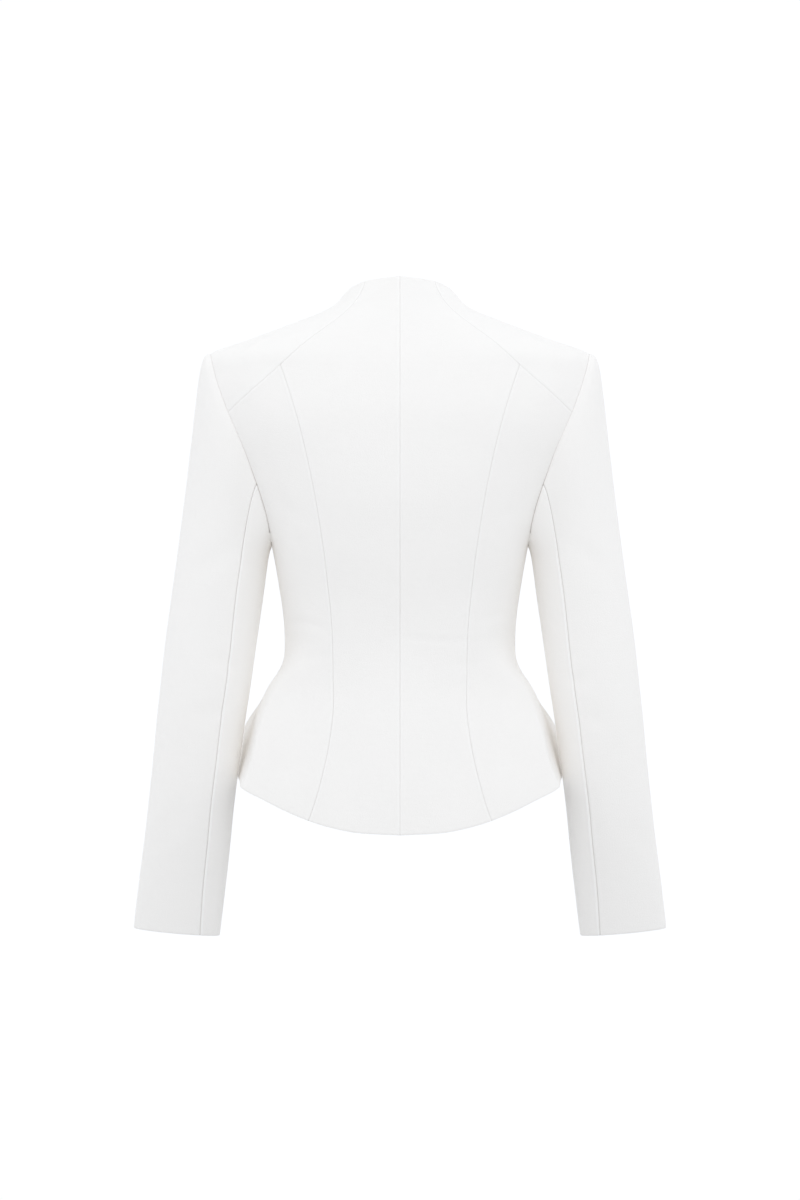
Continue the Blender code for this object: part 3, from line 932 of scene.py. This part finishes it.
@dataclass(frozen=True)
class CrepeFinish:
    """One side of the crepe: its colours with the painted shadow of its seams and the painted highlight on
    their lips, its grain and lustre.
    """

    name: str
    colour: tuple[float, float, float]
    hollow_colour: tuple[float, float, float]
    seam_shadow_colour: tuple[float, float, float]
    lip_highlight_colour: tuple[float, float, float]
    roughness: float
    press_shine: float
    grain_depth: float
    sheen: float
    sheen_roughness: float = 0.45
    specular: float = 0.25
    hollow_dullness: float = 0.08
    grain_strength: float = 0.6

    def tone(self, tree: bpy.types.NodeTree, hollow: bpy.types.NodeSocket) -> bpy.types.NodeSocket:
        """Colours the cloth: darker in its hollows, with painted highlights on the lips beside painted seam
        shadows.

        Args:
            tree: The node tree.
            hollow: The mask of the grain's hollows.

        Returns:
            The colour's socket.
        """
        layers = (
            (hollow, self.hollow_colour),
            # Painted highlight on the seams' lips, then painted shadow along their grooves.
            (mask_node(tree, "seam_light"), self.lip_highlight_colour),
            (mask_node(tree, "seam_line"), self.seam_shadow_colour),
        )
        under = None
        for amount, colour in layers:
            mix = tree.nodes.new("ShaderNodeMix")
            mix.data_type = "RGBA"
            mix.inputs["A"].default_value = (*self.colour, 1)
            mix.inputs["B"].default_value = (*colour, 1)
            tree.links.new(amount, mix.inputs["Factor"])
            if under is not None:
                tree.links.new(under, mix.inputs["A"])
            under = mix.outputs["Result"]
        return under

    def material(self) -> bpy.types.Material:
        """Builds the finish.

        Returns:
            The material.
        """
        material = bpy.data.materials.new(self.name)
        material.use_nodes = True
        tree = material.node_tree
        nodes, links = tree.nodes, tree.links
        place = nodes.new("ShaderNodeUVMap")
        place.uv_map = "cut"
        grain = nodes.new("ShaderNodeGroup")
        grain.node_tree = CrepeGrain().group()
        links.new(place.outputs["UV"], grain.inputs["Thread"])
        hollow = grain.outputs["Hollow"]
        dull = math_node(
            tree, "MULTIPLY_ADD", mask_node(tree, "pressed"), -self.press_shine, self.roughness
        )
        dull = math_node(tree, "MULTIPLY_ADD", hollow, self.hollow_dullness, dull)
        bump = nodes.new("ShaderNodeBump")
        bump.inputs["Strength"].default_value = self.grain_strength
        bump.inputs["Distance"].default_value = self.grain_depth * MM
        links.new(grain.outputs["Height"], bump.inputs["Height"])
        shader = nodes["Principled BSDF"]
        shader.inputs["Sheen Weight"].default_value = self.sheen
        shader.inputs["Sheen Roughness"].default_value = self.sheen_roughness
        shader.inputs["Specular IOR Level"].default_value = self.specular
        links.new(self.tone(tree, hollow), shader.inputs["Base Color"])
        links.new(dull, shader.inputs["Roughness"])
        links.new(bump.outputs["Normal"], shader.inputs["Normal"])
        return material


FACE = CrepeFinish(
    name="crepe_face",
    colour=(0.966, 0.950, 0.928),
    hollow_colour=(0.934, 0.918, 0.895),
    # Painted shadow colour for the seams' grooves, and painted highlight colour for the lips beside them.
    seam_shadow_colour=(0.62, 0.60, 0.575),
    lip_highlight_colour=(0.995, 0.988, 0.978),
    roughness=0.82,
    press_shine=0.07,
    grain_depth=0.35,
    sheen=0.12,
)
REVERSE = CrepeFinish(
    name="crepe_reverse",
    colour=(0.93, 0.913, 0.889),
    hollow_colour=(0.89, 0.872, 0.847),
    # Painted shadow colour for the seams' grooves, and painted highlight colour for the lips beside them.
    seam_shadow_colour=(0.58, 0.56, 0.535),
    lip_highlight_colour=(0.95, 0.938, 0.92),
    roughness=0.9,
    press_shine=0.03,
    grain_depth=0.45,
    sheen=0.05,
)


class SubAssembly:
    """Pieces that are sewn together before they join the rest."""

    drafted: tuple[CutPiece, ...] = ()

    def pieces(self) -> list[CutPiece]:
        """The cut pieces of the sub-assembly."""
        raise NotImplementedError

    def draft(self, nodes: dict[str, bpy.types.Object], fold: Fold) -> None:
        """Drafts each piece in the place of its node.

        Args:
            nodes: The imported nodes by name.
            fold: The fold at the hip.
        """
        self.drafted = tuple(self.pieces())
        for cut_piece in self.drafted:
            cut_piece.draft(nodes[cut_piece.node], fold)

    def build(self, seams: SeamLines, sewing: Sewing, finishes: tuple[bpy.types.Material, ...]) -> None:
        """Makes, dresses and declares each drafted piece.

        Args:
            seams: The edges of all the pieces.
            sewing: The profile beside the edges.
            finishes: The materials of the cloth's face and reverse.
        """
        for cut_piece in self.drafted:
            piece = cut_piece.build(seams, sewing)
            for finish in finishes:
                piece.data.materials.append(finish)
            self.declare(piece, cut_piece)

    def declare(self, piece: bpy.types.Object, cut_piece: CutPiece) -> None:
        """States what a piece is and what it stands for.

        Args:
            piece: The finished piece.
            cut_piece: What it was made from.
        """
        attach(piece, "root")
        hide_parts(cut_piece.node)
        LOG.info("%s: %d points in its sheet", piece.name, len(piece.data.vertices))


@dataclass
class Back(SubAssembly):
    """The centre back and side back on each side, with the flare over the hips."""

    centre: Cut = Cut(
        stem="back_centre", rows=28, columns=7,
        low=Edge.TURNED, high=Edge.TURNED, back=Edge.SEAM, front=Edge.SEAM,
        flat=(128, 600), area=0.0515, hangs_from="yoke", corner_row=20,
    )
    side: Cut = Cut(
        stem="back_side", rows=21, columns=9,
        low=Edge.TURNED, high=Edge.JOIN, back=Edge.SEAM, front=Edge.JOIN,
        flat=(160, 490), area=0.0486, hangs_from="yoke", corner_row=12, fold_column=4,
    )
    creases: tuple[Crease, ...] = (
        Crease((26, -326), (-106, -330), 2, 3.2, -0.8),
        Crease((-74, -314), (-126, -302), -3, 6.0, -0.6),
        Crease((70, -322), (128, -312), 4, 7.0, -0.8),
        Crease((68, -341), (124, -352), -3, 8.0, -0.5),
        Crease((-30, -352), (-112, -348), 5, 9.0, -0.45),
        Crease((62, -60), (44, -128), 6, 26.0, -0.8),
        Crease((-56, -70), (-50, -150), -8, 28.0, -0.8),
        Crease((136, -150), (104, -212), 6, 10.0, -0.9),
        Crease((-134, -160), (-108, -206), -5, 9.0, -0.8),
        Crease((128, -196), (96, -238), 3, 8.0, -0.5),
        Crease((44, -392), (58, -520), 6, 22.0, -1.5),
        Crease((-36, -400), (-52, -524), -7, 20.0, -1.4),
        Crease((100, -384), (124, -500), -5, 17.0, -1.4),
        Crease((-102, -380), (-128, -494), 6, 18.0, -1.5),
        Crease((157, -380), (170, -486), 0, 9.0, -3.6),
        Crease((-156, -384), (-169, -484), 0, 9.0, -3.2),
    )

    def pieces(self) -> list[CutPiece]:
        """The two pieces of each half of the back."""
        return [CutPiece(cut, hand, self.creases) for cut in (self.centre, self.side) for hand in Hand]


@dataclass
class Shoulders(SubAssembly):
    """The two yokes, from the back over the shoulder, with the sides of the standing neck."""

    yoke: Cut = Cut(
        stem="yoke", rows=16, columns=9,
        low=Edge.JOIN, high=Edge.TURNED, back=Edge.JOIN, front=Edge.JOIN,
        flat=(190, 225), area=0.0262, step=2.8,
    )
    creases: tuple[Crease, ...] = (
        Crease((64, 14), (108, -10), -3, 9.0, -0.5),
        Crease((-60, 16), (-116, -12), 4, 10.0, -0.5),
        Crease((168, -20), (188, -58), 4, 9.0, -0.5),
    )

    def pieces(self) -> list[CutPiece]:
        """The yoke of each shoulder."""
        return [CutPiece(self.yoke, hand, self.creases) for hand in Hand]


@dataclass
class WrapFront(SubAssembly):
    """The two fronts, which cross below the bust, with a waist dart in each."""

    front: Cut = Cut(
        stem="front", rows=21, columns=16,
        low=Edge.TURNED, high=Edge.JOIN, back=Edge.JOIN, front=Edge.TURNED,
        flat=(300, 500), area=0.102, hangs_from="yoke", corner_row=12, corner_at_front=False, step=3.8,
    )
    dart: Dart = Dart(column=4.6, low=-430, high=-238)
    creases: tuple[Crease, ...] = (
        Crease((-98, -296), (62, -350), 9, 8.0, -2.0),
        Crease((-110, -328), (26, -368), 6, 7.0, -1.6),
        Crease((-122, -312), (-40, -320), -5, 6.0, -1.5),
        Crease((-96, -352), (-28, -392), 5, 8.0, -1.4),
        Crease((118, -318), (40, -334), 6, 7.0, -1.8),
        Crease((112, -342), (58, -376), -5, 8.0, -1.5),
        Crease((-66, -256), (10, -314), 7, 9.0, -1.3),
        Crease((136, -168), (88, -216), -6, 9.0, -1.8),
        Crease((-138, -162), (-92, -218), 6, 10.0, -1.8),
        Crease((128, -146), (98, -168), 3, 7.0, -1.0),
        Crease((56, -388), (68, -486), 5, 18.0, -1.6),
        Crease((-50, -396), (-60, -490), -6, 20.0, -1.7),
        Crease((-112, -390), (-130, -482), 5, 16.0, -1.5),
        Crease((114, -396), (132, -480), -5, 16.0, -1.5),
    )

    def pieces(self) -> list[CutPiece]:
        """The front of each side."""
        return [CutPiece(self.front, hand, self.creases, (self.dart,)) for hand in Hand]


@dataclass
class Sleeves(SubAssembly):
    """The two-piece sleeves: the upper sleeve with its head, and the under sleeve."""

    top: Cut = Cut(
        stem="sleeve_top", rows=21, columns=17,
        low=Edge.TURNED, high=Edge.JOIN, back=Edge.SEAM, front=Edge.SEAM,
        flat=(275, 640), area=0.118, hangs_from="yoke", field=Field.SLEEVE, step=4.0, seam_draw=3.2,
    )
    under: Cut = Cut(
        stem="sleeve_under", rows=21, columns=9,
        low=Edge.TURNED, high=Edge.JOIN, back=Edge.SEAM, front=Edge.SEAM,
        flat=(125, 500), area=0.0372, hangs_from="sleeve_top", field=Field.SLEEVE,
        seam_draw=3.2, seam_light=1.0,
    )
    left_creases: tuple[Crease, ...] = (
        Crease((-132, -350), (-48, -340), 5, 8.0, -2.6),
        Crease((-126, -374), (-58, -382), -6, 7.0, -2.2),
        Crease((-134, -400), (-64, -418), 5, 9.0, -2.0),
        Crease((-118, -430), (-72, -444), -4, 8.0, -1.3),
        Crease((120, -366), (70, -352), -4, 10.0, -0.9),
        Crease((112, -398), (52, -410), 4, 12.0, -0.8),
        Crease((96, -210), (40, -262), 8, 14.0, -0.9),
        Crease((-96, -200), (-36, -270), -8, 12.0, -1.8),
        Crease((-104, -244), (-54, -300), 6, 11.0, -1.4),
        Crease((66, -500), (20, -560), 6, 18.0, -0.7),
        Crease((-88, -556), (-28, -574), 6, 10.0, -1.6),
        Crease((-72, -598), (-14, -584), -5, 10.0, -1.3),
    )
    right_creases: tuple[Crease, ...] = (
        Crease((-134, -342), (-44, -352), -6, 9.0, -2.4),
        Crease((-124, -368), (-62, -364), 5, 7.0, -2.0),
        Crease((-130, -392), (-54, -410), -5, 8.0, -2.4),
        Crease((-112, -424), (-66, -432), 4, 8.0, -1.2),
        Crease((116, -372), (62, -364), 5, 11.0, -0.9),
        Crease((104, -410), (60, -424), -4, 11.0, -0.7),
        Crease((90, -222), (46, -276), -7, 13.0, -0.9),
        Crease((-98, -208), (-42, -284), 9, 13.0, -1.8),
        Crease((-106, -256), (-60, -316), -6, 11.0, -1.3),
        Crease((58, -520), (16, -584), -6, 18.0, -0.7),
        Crease((-82, -544), (-34, -566), -6, 10.0, -1.4),
        Crease((-76, -588), (-20, -604), 5, 10.0, -1.5),
    )

    def pieces(self) -> list[CutPiece]:
        """The two pieces of each sleeve."""
        creases = {Hand.LEFT: self.left_creases, Hand.RIGHT: self.right_creases}
        return [CutPiece(cut, hand, creases[hand]) for cut in (self.top, self.under) for hand in Hand]


@dataclass
class Studio:
    """The camera behind the jacket, the floor and the soft white light."""

    frame_height_px: int = 1200
    mm_per_px: float = 1.0733
    camera_back: float = 4500.0
    camera_z: float = -287.6
    sensor: float = 24.0
    floor_z: float = -1360.0
    floor_size: float = 4.6
    sky: tuple[float, float, float] = (1.008, 1.026, 1.053)
    floor_tone: float = 0.6
    floor_roughness: float = 0.9
    key_power: float = 1.1
    key_place: tuple[float, float, float] = (-0.2, 1.5, 0.3)
    key_size: float = 1.6
    bounces: int = 12

    def camera(self) -> None:
        """Places the camera square to the back, at the photograph's scale."""
        data = bpy.data.cameras.new("camera")
        data.sensor_fit = "VERTICAL"
        data.sensor_height = self.sensor
        data.lens = self.sensor * self.camera_back / (self.frame_height_px * self.mm_per_px)
        camera = bpy.data.objects.new("camera", data)
        camera.location = (0, self.camera_back * MM, self.camera_z * MM)
        camera.rotation_euler = (math.pi / 2, 0, math.pi)
        bpy.context.scene.collection.objects.link(camera)
        bpy.context.scene.camera = camera

    def floor(self) -> None:
        """Lays a grey matt floor below the jacket."""
        ground = bmesh.new()
        bmesh.ops.create_grid(ground, x_segments=1, y_segments=1, size=self.floor_size / 2)
        mesh = bpy.data.meshes.new("floor")
        ground.to_mesh(mesh)
        ground.free()
        mesh.transform(Matrix.Translation((0, 0, self.floor_z * MM)))
        paint = bpy.data.materials.new("floor_paint")
        paint.use_nodes = True
        shader = paint.node_tree.nodes["Principled BSDF"]
        shader.inputs["Base Color"].default_value = (*[self.floor_tone] * 3, 1)
        shader.inputs["Roughness"].default_value = self.floor_roughness
        mesh.materials.append(paint)
        floor = bpy.data.objects.new("floor", mesh)
        bpy.context.scene.collection.objects.link(floor)

    def light(self) -> None:
        """Fills the room with white light, and adds a weak soft key behind the jacket above its waist."""
        scene = bpy.context.scene
        world = bpy.data.worlds.new("room")
        world.use_nodes = True
        sky = world.node_tree.nodes["Background"]
        sky.inputs["Color"].default_value = (*self.sky, 1)
        scene.world = world
        scene.view_settings.view_transform = "Standard"
        scene.cycles.diffuse_bounces = self.bounces
        data = bpy.data.lights.new("key", "AREA")
        data.size = self.key_size
        data.energy = self.key_power
        key = bpy.data.objects.new("key", data)
        key.location = self.key_place
        aim = Vector((0, 0, self.camera_z * MM)) - key.location
        key.rotation_euler = aim.to_track_quat("-Z", "Y").to_euler()
        scene.collection.objects.link(key)


def main() -> None:
    """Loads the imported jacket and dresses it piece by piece."""
    logging.basicConfig(level=logging.INFO, format="%(name)s: %(message)s")
    for old in list(bpy.data.objects):
        bpy.data.objects.remove(old)
    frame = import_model()
    studio = Studio()
    studio.camera()
    finishes = (FACE.material(), REVERSE.material())
    sewing, fold = Sewing(), Fold()
    parts = (Back(), Shoulders(), WrapFront(), Sleeves())
    for part in parts:
        part.draft(frame["nodes"], fold)
    seams = SeamLines([piece for part in parts for piece in part.drafted], sewing)
    for part in parts:
        part.build(seams, sewing, finishes)
    studio.floor()
    studio.light()


if __name__ == "__main__":
    main()
